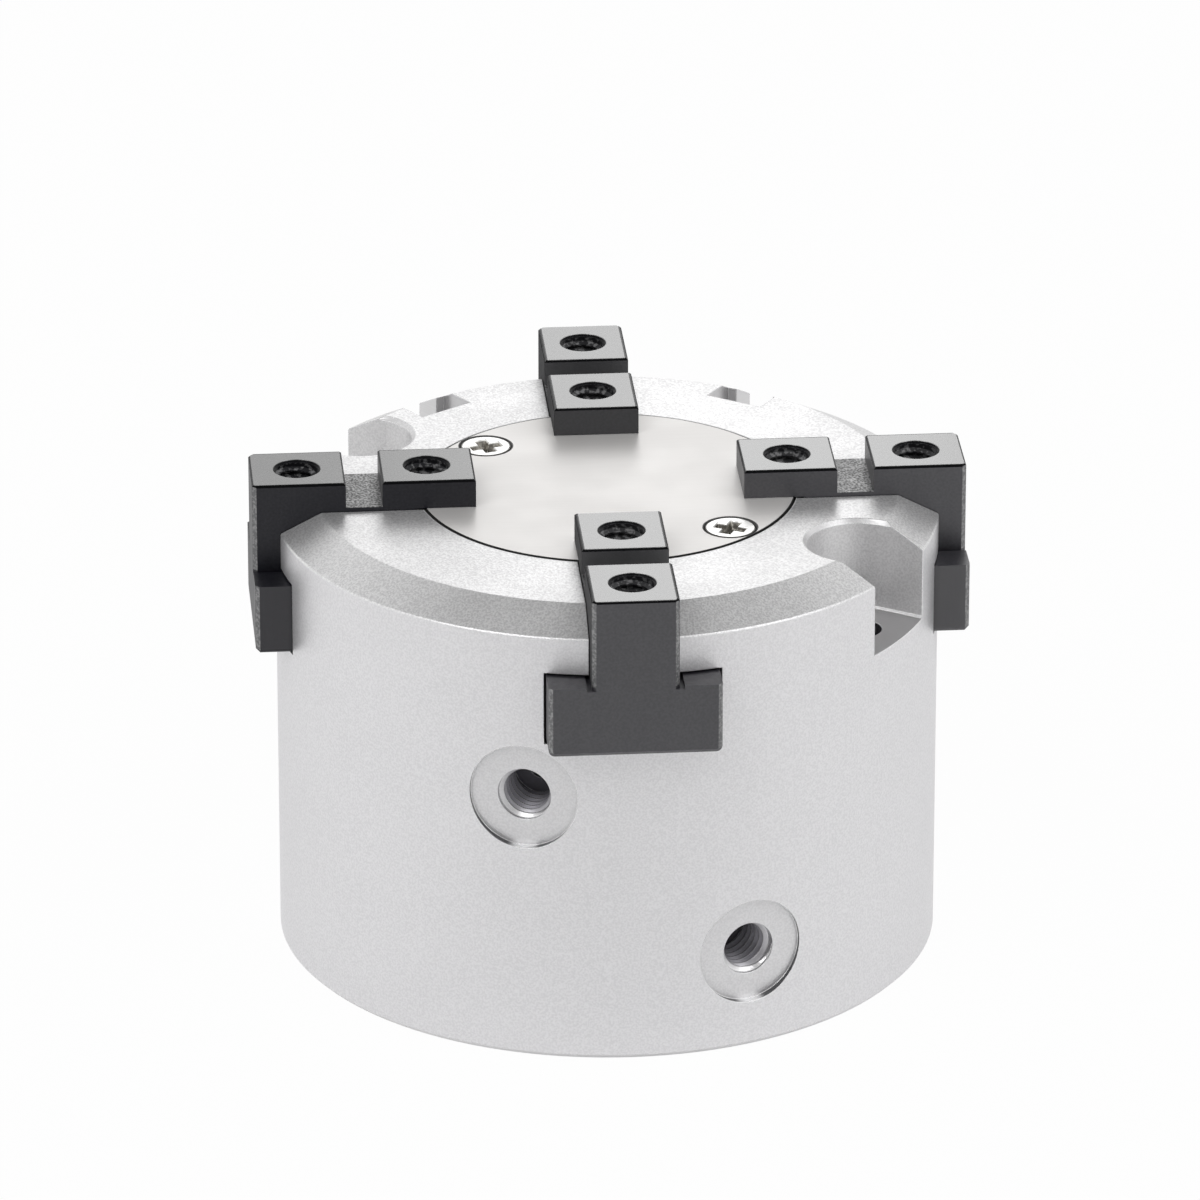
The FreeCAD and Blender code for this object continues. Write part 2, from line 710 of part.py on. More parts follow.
def make_piston_rings():
    """Guide ring, seal and magnet, each in its groove; only the first two reach the bore."""
    bore_side = "bore_radius - run_gap"
    for label, make, outer, ring in (
        ("piston_wear_ring", make_flat_ring, bore_side, "wear_ring"),
        ("piston_seal", make_band, bore_side, "piston_seal"),
        ("magnet_ring", make_flat_ring, "piston_radius - seat_gap", "magnet"),
    ):
        make(
            label,
            f"piston_radius - {ring}_depth + seat_gap",
            outer,
            f"{ring}_floor + seat_gap",
            f"({ring}_width - 2 * seat_gap)",
        )


def make_piston_rod():
    rod = new_body("piston_rod")
    revolve(
        rod,
        "tube",
        [
            ("bolt_hole_radius", "rod_foot"),
            ("rod_radius", "rod_foot"),
            ("rod_radius", "rod_head"),
            ("bolt_hole_radius", "rod_head"),
        ],
    )


def make_piston_bolt():
    bolt = new_body("piston_bolt")
    revolve(
        bolt,
        "section",
        [
            ("0", "bolt_foot"),
            ("bolt_head_radius", "bolt_foot"),
            ("bolt_head_radius", "bolt_neck"),
            ("bolt_radius", "bolt_neck"),
            ("bolt_radius", "bolt_tip"),
            ("0", "bolt_tip"),
        ],
    )
    corner = "socket_width / 2 / cos(30)"
    sides = 6
    turns = [360 * side // sides for side in range(sides)]
    socket = polygon(
        sketch_on(bolt, "socket", "XY_Plane", "0", ("0", "0", "bolt_foot")),
        [(f"{corner} * cos({turn})", f"{corner} * sin({turn})") for turn in turns],
    )
    pocket(bolt, socket, "socket_depth")


def make_wedge_cam():
    """A round block with four inclined T-slots: raising it drives the fingers' T-keys outwards."""
    cam = new_body("wedge_cam")
    revolve(
        cam,
        "section",
        [
            ("rod_radius + seat_gap", "cam_floor"),
            ("cam_radius", "cam_floor"),
            ("cam_radius", "cam_top"),
            ("0", "cam_top"),
            ("0", "bolt_tip + stop_gap"),
            ("bolt_radius + seat_gap", "bolt_tip + stop_gap"),
            ("bolt_radius + seat_gap", "rod_head + seat_gap"),
            ("rod_radius + seat_gap", "rod_head + seat_gap"),
        ],
    )
    low = "cam_floor - tool_over"
    high = "cam_top + tool_over"
    lean_low = f"wedge_slope * (bar_floor - ({low}))"
    lean_high = f"wedge_slope * (bar_floor - ({high}))"
    inside = "key_inner - key_gap"
    outside = "key_outer + key_gap"
    head = polygon(
        sketch_on(cam, "key_slot", "XZ_Plane"),
        [
            (f"{inside} + {lean_low}", low),
            (f"{outside} + {lean_low}", low),
            (f"{outside} + {lean_high}", high),
            (f"{inside} + {lean_high}", high),
        ],
    )
    head_slot = pocket(cam, head, "key_width + 2 * key_gap", side="Symmetric")
    beyond = "key_outer + wedge_slope * (key_height + cam_top - cam_floor)"
    neck = polygon(
        sketch_on(cam, "neck_slot", "XZ_Plane"),
        [
            (f"{inside} + {lean_low}", low),
            (beyond, low),
            (beyond, high),
            (f"{inside} + {lean_high}", high),
        ],
    )
    neck_slot = pocket(cam, neck, "key_neck + 2 * key_gap", side="Symmetric")
    polar(cam, [head_slot, neck_slot], 4)


# Fingers: a T-bar that slides in the housing, a stem with two pads, and a T-key in the cam.


def make_finger(label, turn):
    finger = new_body(label)
    stem = polygon(
        sketch_on(finger, "stem", "XZ_Plane"),
        [
            ("root_radius", "bar_floor"),
            ("finger_reach", "bar_floor"),
            ("finger_reach", "pad_top"),
            ("pad_outer", "pad_top"),
            ("pad_outer", "saddle_floor"),
            ("pad_split", "saddle_floor"),
            ("pad_split", "pad_top"),
            ("pad_inner", "pad_top"),
            ("pad_inner", "pad_under"),
            ("recess_radius + loose_gap", "pad_under"),
            ("recess_radius + loose_gap", "plate_under - loose_gap"),
            ("root_radius", "plate_under - loose_gap"),
        ],
    )
    pad(finger, stem, "finger_width", side="Symmetric")
    bar = polygon(
        sketch_on(finger, "bar", "XZ_Plane"),
        [
            ("root_radius", "bar_floor"),
            ("finger_reach", "bar_floor"),
            ("finger_reach", "bar_top"),
            ("root_radius", "bar_top"),
        ],
    )
    pad(finger, bar, "bar_width", side="Symmetric")
    reliefs = sketch_on(finger, "reliefs", "YZ_Plane", "0", ("0", "0", "finger_reach + tool_over"))
    for side in ("", "-"):
        near_stem = f"{side}finger_width / 2"
        away = f"{side}(finger_width / 2 + relief_width)"
        polygon(
            reliefs,
            [
                (near_stem, "bar_top - relief_depth"),
                (away, "bar_top - relief_depth"),
                (away, "bar_top + tool_over"),
                (near_stem, "bar_top + tool_over"),
            ],
        )
    pocket(finger, reliefs, "finger_reach", upwards=False)
    dress_finger(finger)
    add_key(finger)
    drill_pads(finger)
    finger.Placement = FreeCAD.Placement(
        FreeCAD.Vector(), FreeCAD.Rotation(FreeCAD.Vector(0, 0, 1), turn)
    )


def dress_finger(finger):
    """Bevel the outer upright edges and the pads' tops, and round the T-bar underneath."""

    def upright(start, end):
        both_outer = near(start.x, "finger_reach") and near(end.x, "finger_reach")
        bar_corner = near(abs(start.y), "bar_width / 2")
        above_bar = max(start.z, end.z) > number("bar_top")
        stem_corner = near(abs(start.y), "finger_width / 2") and above_bar
        return both_outer and near(start.y - end.y, "0") and (bar_corner or stem_corner)

    def round_the_top(start, end):
        return near(start.z, "pad_top") and near(end.z, "pad_top")

    def underneath(start, end):
        low = near(start.z, "bar_floor") and near(end.z, "bar_floor")
        return low and near(abs(start.y), "bar_width / 2") and near(start.y - end.y, "0")

    dress(finger, "Fillet", "Radius", "bar_round", underneath)
    dress(finger, "Chamfer", "Size", "finger_bevel", upright)
    dress(finger, "Chamfer", "Size", "pad_bevel", round_the_top)


def add_key(finger):
    """The inclined T-key: a neck from the finger's inner end, and a wider head in the cam."""
    neck = polygon(
        sketch_on(finger, "key_neck", "XZ_Plane"),
        [
            ("key_inner", "bar_floor"),
            ("root_radius + loose_gap", "bar_floor"),
            ("root_radius + loose_gap", "key_top"),
            ("key_inner - key_lean", "key_top"),
        ],
    )
    pad(finger, neck, "key_neck", side="Symmetric")
    head = polygon(
        sketch_on(finger, "key_head", "XZ_Plane"),
        [
            ("key_inner", "bar_floor"),
            ("key_outer", "bar_floor"),
            ("key_outer - key_lean", "key_top"),
            ("key_inner - key_lean", "key_top"),
        ],
    )
    pad(finger, head, "key_width", side="Symmetric")


def drill_pads(finger):
    """A threaded hole in the middle of each pad: through inside, blind outside."""
    for name, place, floor in (
        ("pad_hole_inner", "pad_hole_inner", "pad_under"),
        ("pad_hole_outer", "pad_hole_outer", "pad_top - pad_thread_depth"),
    ):
        sketch = polygon(
            sketch_on(finger, name, "XZ_Plane", "0", (place, "0", "0")),
            [
                ("0", floor),
                ("pad_thread_radius", floor),
                ("pad_thread_radius", "pad_top - pad_mouth"),
                ("pad_thread_radius + pad_mouth", "pad_top"),
                ("0", "pad_top"),
            ],
        )
        drill(finger, sketch)


make_body()
make_end_plate()
make_end_plate_screws()
make_cylinder_cap()
make_flat_ring(
    "cap_gasket",
    "cap_radius - gasket_groove_depth + seat_gap",
    "cap_radius",
    "gasket_floor + seat_gap",
    "(gasket_groove_width - 2 * seat_gap)",
)
make_retaining_ring()
make_band(
    "rod_seal",
    "rod_radius + run_gap",
    "rod_seal_radius - seat_gap",
    "rod_seal_floor + seat_gap",
    "(rod_seal_width - 2 * seat_gap)",
)
make_piston()
make_piston_rings()
make_piston_rod()
make_band(
    "rod_gasket",
    "rod_gasket_inner + seat_gap",
    "rod_gasket_outer - seat_gap",
    "rod_foot - rod_gasket_depth + seat_gap",
    "(rod_gasket_depth - seat_gap)",
)
make_piston_bolt()
make_flat_ring(
    "bolt_gasket", "bolt_hole_radius", "bolt_head_radius", "bolt_neck", "washer_thickness"
)
make_wedge_cam()
for label, turn in (
    ("finger_right", 0),
    ("finger_back", 90),
    ("finger_left", 180),
    ("finger_front", 270),
):
    make_finger(label, turn)

doc.recompute()
for member in doc.Objects:
    if {"Invalid", "Error"} & set(member.State):
        raise RuntimeError(f"{member.Name} failed: {member.State}")
pieces = [member for member in doc.Objects if member.TypeId == "PartDesign::Body"]
for piece in pieces:
    if piece.Shape.isNull() or not piece.Shape.isValid():
        raise RuntimeError(f"{piece.Label} has no valid shape")
os.makedirs("parts", exist_ok=True)
for piece in pieces:
    piece.Shape.exportStep(f"parts/{piece.Label}.step")
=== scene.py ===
import math

import bmesh
import bpy
import numpy as np
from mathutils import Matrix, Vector


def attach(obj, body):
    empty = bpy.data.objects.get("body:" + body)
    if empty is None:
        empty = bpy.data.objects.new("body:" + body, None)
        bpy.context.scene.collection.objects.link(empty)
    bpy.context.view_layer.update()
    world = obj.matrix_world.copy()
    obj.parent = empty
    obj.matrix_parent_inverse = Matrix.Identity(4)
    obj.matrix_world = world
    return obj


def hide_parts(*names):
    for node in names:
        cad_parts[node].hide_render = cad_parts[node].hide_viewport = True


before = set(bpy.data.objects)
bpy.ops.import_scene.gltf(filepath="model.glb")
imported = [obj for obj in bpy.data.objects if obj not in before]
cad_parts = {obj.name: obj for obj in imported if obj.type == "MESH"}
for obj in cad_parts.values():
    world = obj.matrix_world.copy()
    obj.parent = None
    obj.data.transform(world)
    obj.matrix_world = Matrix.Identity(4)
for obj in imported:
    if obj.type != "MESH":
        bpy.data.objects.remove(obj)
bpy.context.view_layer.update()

# Housing: a round aluminium block, turned, bored from below for the cylinder and milled across for
# the finger slots. The outside is blasted with fine beads and anodised clear; pockets, ports,
# slots and bores are cut later and keep the smoother marks of the cutter.

# Sizes are in millimetres; a port is given by its turn round the axis and its height.
MM = 0.001
HOUSING_RADIUS, HOUSING_HEIGHT = 31.0, 44.3
BEVEL_WIDTH, BEVEL_HEIGHT = 3.8, 2.0
PORTS = ((math.radians(-109), 26.2), (math.radians(-69), 9.65))
PORT_WALL, PORT_FLAT, PORT_MOUTH, PORT_SPOT = 2.5, 30.25, 0.05, 5.1
FOOT_CIRCLE, FOOT_TURN = 26.5, math.radians(-33)
POCKET_FLOOR, POCKET_HALF, POCKET_HOLE = 35.4, 4.85, 2.15
PLATE_RECESS, RECESS_FLOOR = 17.85, 42.8
SKIN = 0.06


class Strand:
    """A socket of a finish's node tree; sums on strands and numbers add Math nodes."""

    def __init__(self, socket):
        self.socket = socket

    def node(self, kind, settings, inputs, output=0):
        """Add a node of any type: its settings first, then values or strands on its sockets."""
        tree = self.socket.id_data
        made = tree.nodes.new(kind)
        for name, setting in settings.items():
            setattr(made, name, setting)
        for key, value in inputs.items():
            if isinstance(value, Strand):
                tree.links.new(value.socket, made.inputs[key])
            else:
                made.inputs[key].default_value = value
        return Strand(made.outputs[output])

    def math(self, operation, first, second=0.0):
        """A Math node on one or two values."""
        return self.node("ShaderNodeMath", {"operation": operation}, {0: first, 1: second})

    def __add__(self, other):
        return self.math("ADD", self, other)

    def __sub__(self, other):
        return self.math("SUBTRACT", self, other)

    def __rsub__(self, other):
        return self.math("SUBTRACT", other, self)

    def __mul__(self, other):
        return self.math("MULTIPLY", self, other)

    def __lt__(self, other):
        return self.math("LESS_THAN", self, other)

    def __gt__(self, other):
        return self.math("GREATER_THAN", self, other)

    def __and__(self, other):
        return self.math("MINIMUM", self, other)

    def __or__(self, other):
        return self.math("MAXIMUM", self, other)

    def __abs__(self):
        return self.math("ABSOLUTE", self)

    __radd__ = __add__
    __rmul__ = __mul__

    def into(self, shader, name):
        """Feed one socket of a shader."""
        self.socket.id_data.links.new(self.socket, shader.inputs[name])


def new_finish(name, **constants):
    """A finish: its material, its shader with the constant sockets set, and Object coordinates."""
    finish = bpy.data.materials.new(name)
    finish.use_nodes = True
    shader = finish.node_tree.nodes["Principled BSDF"]
    for socket, value in constants.items():
        shader.inputs[socket.replace("_", " ")].default_value = value
    place = finish.node_tree.nodes.new("ShaderNodeTexCoord").outputs["Object"]
    return finish, shader, Strand(place)


def millimetres(place):
    """The three coordinates of a place, in millimetres."""
    return [place.node("ShaderNodeSeparateXYZ", {}, {0: place}, axis) * 1000 for axis in "XYZ"]


def length(first, second):
    """Length of the hypotenuse over two coordinates."""
    square = first * first + second * second
    return square.math("SQRT", square)


def grain(place, per_mm, stretch=(1, 1, 1), detail=2.0):
    """Noise between 0 and 1 with so many grains to the millimetre, stretched along the axes."""
    scaled = place.node("ShaderNodeMapping", {}, {"Vector": place, "Scale": stretch})
    settings = {"noise_dimensions": "3D"}
    inputs = {"Vector": scaled, "Scale": per_mm / MM, "Detail": detail}
    return place.node("ShaderNodeTexNoise", settings, inputs)


def between(value, low, high, start=0.0, end=1.0):
    """A smooth rise from start to end while a value goes from low to high."""
    inputs = {"Value": value, "From Min": low, "From Max": high, "To Min": start, "To Max": end}
    return value.node("ShaderNodeMapRange", {"interpolation_type": "SMOOTHSTEP"}, inputs)


def spread(noise, start=0.0, end=1.0):
    """Noise, most of which lies between 0.3 and 0.7, spread smoothly from start to end."""
    return between(noise, 0.3, 0.7, start, end)


def tint(mask, first, second):
    """One colour where the mask is 0, another where it is 1."""
    factor, colour_a, colour_b, result = 0, 6, 7, 2
    rgb = [value if isinstance(value, Strand) else (*value, 1) for value in (first, second)]
    inputs = {factor: mask, colour_a: rgb[0], colour_b: rgb[1]}
    return mask.node("ShaderNodeMix", {"data_type": "RGBA"}, inputs, result)


def bump(height, depth_mm, shader, **rounded):
    """Relief of a depth in millimetres, from a height between 0 and 1."""
    inputs = {"Distance": depth_mm * MM, "Height": height, **rounded}
    height.node("ShaderNodeBump", {}, inputs).into(shader, "Normal")


def broken_edge(place, radius_mm):
    """The surface's direction with edges rounded to a radius, and a mask that is 1 on those edges,
    where the rounded and the plain direction differ."""
    slight, plain_to_see = 0.005, 0.08
    rounded = place.node("ShaderNodeBevel", {"samples": 8}, {"Radius": radius_mm * MM})
    plain = place.node("ShaderNodeNewGeometry", {}, {}, "Normal")
    operation = {"operation": "DOT_PRODUCT"}
    alike = place.node("ShaderNodeVectorMath", operation, {0: rounded, 1: plain}, 1)
    return rounded, between(1 - alike, slight, plain_to_see)


def port_masks(x, y, z, depth):
    """Masks over both ports, by the distance from each port's axis: the bore, rising to 1 a little
    way in, where painted shade darkens it, the spot face, the step round it, which takes a painted
    shadow, and that step's lowest part, which takes a painted highlight."""
    dim_from, dim_to, foot_share = 0.1, 2.0, 0.95
    bore, spot_face, step, lit_step_foot = 0, 0, 0, 0
    for turn, height in PORTS:
        outward = x * math.cos(turn) + y * math.sin(turn)
        off_axis = length(y * math.cos(turn) - x * math.sin(turn), z - height)
        inside = (off_axis < PORT_WALL + SKIN) * (outward > 0)
        bore = inside * between(outward, PORT_FLAT - dim_to, PORT_FLAT - dim_from, 1.0, 0.0) + bore
        spot_face = (off_axis < PORT_SPOT) * (abs(outward - PORT_FLAT) < SKIN) + spot_face
        wall = (abs(off_axis - PORT_SPOT) < SKIN) * (outward > PORT_FLAT + SKIN / 2)
        wall = wall * (depth > SKIN / 2)
        step = wall + step
        # The step's lowest part takes a painted highlight; the rest of the step takes a painted
        # shadow.
        lowest = between(z - height, -PORT_SPOT, -foot_share * PORT_SPOT, 1.0, 0.0)
        lit_step_foot = wall * lowest + lit_step_foot
    return bore, spot_face, step, lit_step_foot


def pocket_masks(x, y, z, machined):
    """Masks over both screw pockets, by the distances along and across the diagonal on which they
    lie: the pocket, its floor, the fillet over the floor, and the hole below it. The floor and the
    hole are darkened with painted shade."""
    fillet_height = 0.35
    out = abs(x * math.cos(FOOT_TURN) + y * math.sin(FOOT_TURN))
    aside = y * math.cos(FOOT_TURN) - x * math.sin(FOOT_TURN)
    pocket = (abs(aside) < POCKET_HALF + SKIN) * (out > FOOT_CIRCLE - POCKET_HALF - SKIN)
    pocket = pocket * machined * (z > POCKET_FLOOR - SKIN)
    floor = (abs(z - POCKET_FLOOR) < SKIN) * pocket
    fillet = between(z, POCKET_FLOOR, POCKET_FLOOR + fillet_height, 1.0, 0.0) * pocket
    hole = (length(out - FOOT_CIRCLE, aside) < POCKET_HOLE + SKIN) * (z < POCKET_FLOOR - SKIN)
    return pocket, floor, fillet, hole


def blasted_aluminium():
    """Blasted where the surface lies on the turned envelope, tool-marked where it lies deeper, and
    brighter along its edges, part polish and part painted highlight. Painted shade darkens the
    ports' bores, the pockets' floors and the holes below them; each port's step carries a painted
    shadow with a painted highlight at its lowest part. The depth is the least of the distances
    from the envelope's wall, top and bevel."""
    finish, shader, place = new_finish("blasted_aluminium")
    x, y, z = millimetres(place)
    reach = length(x, y)
    slope = math.hypot(BEVEL_WIDTH, BEVEL_HEIGHT)
    over_bevel = (reach - (HOUSING_RADIUS - BEVEL_WIDTH)) * (BEVEL_HEIGHT / slope)
    over_bevel = over_bevel + (z - HOUSING_HEIGHT) * (BEVEL_WIDTH / slope)
    depth = (HOUSING_RADIUS - reach) & (HOUSING_HEIGHT - z) & (0 - over_bevel)
    bore, spot_face, step, lit_step_foot = port_masks(x, y, z, depth)
    machined = ((depth > SKIN) - spot_face) | 0
    pocket, pocket_floor, fillet, hole = pocket_masks(x, y, z, machined)
    top = z > HOUSING_HEIGHT - BEVEL_HEIGHT - SKIN
    lip = (abs(reach - PLATE_RECESS) < SKIN) * (z > RECESS_FLOOR)
    rounded, edge = broken_edge(place, radius_mm=0.14)
    beads = grain(place, per_mm=5.0, detail=3.0)
    cloud = grain(place, per_mm=0.12)
    turning = grain(place, per_mm=0.5, stretch=(1, 1, 24))

    specks = between(beads, 0.36, 0.64)
    wall_tone = tint(specks, (0.81, 0.804, 0.818), (0.9, 0.894, 0.908))
    top_tone = tint(specks, (0.72, 0.716, 0.72), (0.935, 0.933, 0.935))
    spot_tone = tint(specks, (0.76, 0.755, 0.765), (0.84, 0.835, 0.845))
    pocket_tone = tint(specks, (0.74, 0.735, 0.74), (0.86, 0.855, 0.86))
    cut_tone = tint(between(turning, 0.35, 0.65), (0.765, 0.76, 0.765), (0.79, 0.785, 0.79))
    # Painted shade: darker on the pockets' floors, in the ports' bores further in and in the holes
    # below the pockets.
    floor_shade_tone = (0.42, 0.415, 0.42)
    bore_shade_tone = (0.38, 0.37, 0.41)
    hole_shade_tone = (0.27, 0.27, 0.285)
    step_shade = (0.13, 0.13, 0.135)
    # Brighter along the edges, part polish and part painted highlight; the lowest part of each
    # port's step is a painted highlight.
    polish_and_highlight = (0.95, 0.95, 0.955)

    blasted_tone = tint(spot_face, tint(top, wall_tone, top_tone), spot_tone)
    # The pockets' floors take painted shade.
    machined_tone = tint(pocket_floor, tint(pocket, cut_tone, pocket_tone), floor_shade_tone)
    tone = tint(machined, blasted_tone, machined_tone)
    # Painted shade in the ports' bores and in the holes below the pockets.
    tone = tint(hole, tint(bore, tone, bore_shade_tone), hole_shade_tone)
    # Edges: part polish, part painted highlight. Each port's step: a painted shadow, with a
    # painted highlight at its lowest part.
    tone = tint(edge, tone, polish_and_highlight)
    tint(step, tone, tint(lit_step_foot, step_shade, polish_and_highlight)).into(shader, "Base Color")

    blasted_metal, machined_more, pocket_less, bore_less = 0.72, 0.15, 0.3, 0.7
    metal = machined * machined_more - pocket * pocket_less - bore * bore_less + blasted_metal
    (metal * (1 - lip)).into(shader, "Metallic")
    cut_smoother, edge_smoother = 0.06, 0.15
    rough = spread(cloud, 0.38, 0.44) - machined * cut_smoother + pocket * cut_smoother
    (rough - edge * edge_smoother).into(shader, "Roughness")
    turning_share, pocket_share, fillet_share = 0.5, 0.6, 9
    relief = beads * (1 - machined) + turning * (machined - pocket) * turning_share
    relief = relief + beads * pocket * pocket_share + fillet * fillet_share
    bump(relief, 0.03, shader, Normal=rounded)
    return finish


def wear(node, finish):
    """Put a finish on a CAD node."""
    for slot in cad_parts[node].material_slots:
        slot.material = finish


HOUSING_FINISH = blasted_aluminium()
wear("body", HOUSING_FINISH)


def closed_piece(name, points, faces, finish):
    """A piece from points in millimetres, with doubles merged and its faces turned outwards."""
    touching = 1e-7
    mesh = bpy.data.meshes.new(name)
    mesh.from_pydata((points * MM).tolist(), [], faces)
    shell = bmesh.new()
    shell.from_mesh(mesh)
    bmesh.ops.remove_doubles(shell, verts=shell.verts, dist=touching)
    bmesh.ops.recalc_face_normals(shell, faces=shell.faces)
    shell.to_mesh(mesh)
    shell.free()
    mesh.materials.append(finish)
    piece = bpy.data.objects.new(name, mesh)
    bpy.context.scene.collection.objects.link(piece)
    return piece


def ring_faces(rows, columns, first=0):
    """Quads over a grid whose last column joins its first."""
    index = first + np.arange(rows * columns).reshape(rows, columns)
    beside = np.roll(index, -1, axis=1)
    quads = np.stack([index[:-1], beside[:-1], beside[1:], index[1:]], axis=-1)
    return quads.reshape(-1, 4).tolist()


def thread(wall, crest, pitch, run, start, axis):
    """A thread in a hole: a flat-topped triangle carried along a helix. After t turns it has
    climbed t pitches along the axis; its foot lies just in the wall and its crest stands in,
    sinking back into the wall over the first and last quarter turn. Returns a grid of points."""
    steps, fade, foot, flat, sunk = 40, 0.25, 0.46, 0.07, 0.02
    turns = run / pitch - 2 * foot
    turn = np.linspace(0, turns, int(turns * steps) + 1)
    swell = np.clip(np.minimum(turn, turns - turn) / fade, 0, 1)
    inner = wall - swell * (wall - crest)
    outer = np.full_like(turn, wall + sunk)
    radius = np.stack([outer, inner, inner, outer], axis=1)
    climb = (turn[:, None] + foot + np.array([-foot, -flat, flat, foot])) * pitch
    angle = 2 * np.pi * turn[:, None]
    along = np.array(axis, float)
    upright = abs(along[2]) > 0.5
    side = np.cross(along, (1, 0, 0) if upright else (0, 0, 1))
    side = side / np.linalg.norm(side)
    up = np.cross(along, side)
    circle = np.multiply.outer(radius * np.cos(angle), side)
    circle = circle + np.multiply.outer(radius * np.sin(angle), up)
    return np.array(start, float) + circle + np.multiply.outer(climb, along)


def threads(name, finish, grids, body):
    """One piece with a thread for each grid, closed at both ends, riding on a body."""
    points, faces = [], []
    first = 0
    for grid in grids:
        rows, columns = grid.shape[:2]
        last = first + (rows - 1) * columns
        points.append(grid.reshape(-1, 3))
        faces += ring_faces(rows, columns, first)
        faces.append(list(range(first, first + columns)))
        faces.append(list(range(last, last + columns)))
        first += rows * columns
    piece = closed_piece(name, np.concatenate(points), faces, finish)
    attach(piece, body)


PORT_CREST, PORT_PITCH, PORT_RUN = 2.1, 0.8, 5.9
port_grids = []
for turn, height in PORTS:
    inward = (-math.cos(turn), -math.sin(turn), 0)
    mouth = PORT_FLAT - PORT_MOUTH
    start = (mouth * math.cos(turn), mouth * math.sin(turn), height)
    port_grids.append(thread(PORT_WALL, PORT_CREST, PORT_PITCH, PORT_RUN, start, inward))
threads("port_threads", HOUSING_FINISH, port_grids, "housing")

FOOT_WALL, FOOT_CREST, FOOT_PITCH, FOOT_RUN = 2.5, 2.1, 0.8, 10.0
foot_grids = []
for turn in (FOOT_TURN, FOOT_TURN + math.pi):
    start = (FOOT_CIRCLE * math.cos(turn), FOOT_CIRCLE * math.sin(turn), 0)
    foot_grids.append(thread(FOOT_WALL, FOOT_CREST, FOOT_PITCH, FOOT_RUN, start, (0, 0, 1)))
threads("foot_threads", HOUSING_FINISH, foot_grids, "housing")

# Cylinder end: an aluminium cap turned on a lathe closes the bore from below. A rubber ring seals
# it, a phosphated spring ring with two eyes holds it, and a second rubber ring seals the rod.


def turned_aluminium():
    """Bright aluminium with the fine rings of a lathe tool: the sine of the distance from the
    axis, with a little haze."""
    radians_per_mm, ring_share = 15, 0.7
    finish, shader, place = new_finish("turned_aluminium", Metallic=1.0)
    x, y = millimetres(place)[:2]
    feed = length(x, y) * radians_per_mm
    rings = feed.math("SINE", feed) * 0.5 + 0.5
    haze = grain(place, per_mm=3.0, detail=3.0)
    mark = rings * ring_share + haze * (1 - ring_share)
    tint(mark, (0.6, 0.6, 0.61), (0.72, 0.72, 0.73)).into(shader, "Base Color")
    between(mark, 0.2, 0.8, 0.26, 0.36).into(shader, "Roughness")
    bump(rings, 0.006, shader)
    return finish


def seal_rubber():
    """Black rubber with a dull, slightly dusty skin."""
    clean, dusty = (0.012, 0.012, 0.013), (0.035, 0.035, 0.036)
    finish, shader, place = new_finish("seal_rubber")
    dust = grain(place, per_mm=0.9, detail=4.0)
    tint(between(dust, 0.45, 0.75), clean, dusty).into(shader, "Base Color")
    spread(dust, 0.5, 0.66).into(shader, "Roughness")
    bump(dust, 0.01, shader)
    return finish


def phosphated_steel():
    """Spring steel under a grey-black phosphate coat, with a crystalline grain."""
    coat, glint = (0.045, 0.045, 0.05), (0.12, 0.12, 0.125)
    finish, shader, place = new_finish("phosphated_steel", Metallic=0.6)
    crystal = grain(place, per_mm=6.0, detail=4.0)
    tint(between(crystal, 0.35, 0.7), coat, glint).into(shader, "Base Color")
    spread(crystal, 0.4, 0.6).into(shader, "Roughness")
    bump(crystal, 0.012, shader)
    return finish


TURNED_FINISH = turned_aluminium()
RUBBER_FINISH = seal_rubber()
wear("cylinder_cap", TURNED_FINISH)
wear("cap_retaining_ring", phosphated_steel())
for seal in ("cap_gasket", "rod_seal"):
    wear(seal, RUBBER_FINISH)

# Piston group: a turned piston with guide ring, seal and magnet, a ground rod and the wedge cam,
# all drawn together by one bolt from below.


def guide_plastic():
    """Cream filled plastic with a faint mottle."""
    finish, shader, place = new_finish("guide_plastic")
    mottle = grain(place, per_mm=1.5, detail=3.0)
    tint(mottle, (0.66, 0.6, 0.47), (0.78, 0.73, 0.61)).into(shader, "Base Color")
    spread(mottle, 0.42, 0.55).into(shader, "Roughness")
    bump(mottle, 0.008, shader)
    return finish


def bonded_magnet():
    """Dark grey magnet powder bound in plastic."""
    binder, grains = (0.03, 0.03, 0.032), (0.1, 0.1, 0.1)
    finish, shader, place = new_finish("bonded_magnet", Metallic=0.2)
    powder = grain(place, per_mm=8.0, detail=2.0)
    tint(between(powder, 0.4, 0.7), binder, grains).into(shader, "Base Color")
    spread(powder, 0.5, 0.7).into(shader, "Roughness")
    bump(powder, 0.01, shader)
    return finish


def ground_steel():
    """Hard steel ground round the axis: very fine scratches that run round it."""
    scratched, bright = (0.5, 0.5, 0.51), (0.66, 0.66, 0.66)
    finish, shader, place = new_finish("ground_steel", Metallic=1.0)
    scratch = grain(place, per_mm=0.8, stretch=(1, 1, 20), detail=3.0)
    tint(between(scratch, 0.35, 0.65), scratched, bright).into(shader, "Base Color")
    spread(scratch, 0.2, 0.32).into(shader, "Roughness")
    bump(scratch, 0.004, shader)
    return finish


wear("piston", TURNED_FINISH)
wear("piston_wear_ring", guide_plastic())
wear("magnet_ring", bonded_magnet())
for seal in ("piston_seal", "rod_gasket", "bolt_gasket"):
    wear(seal, RUBBER_FINISH)
GROUND_FINISH = ground_steel()
for piece in ("piston_rod", "wedge_cam"):
    wear(piece, GROUND_FINISH)

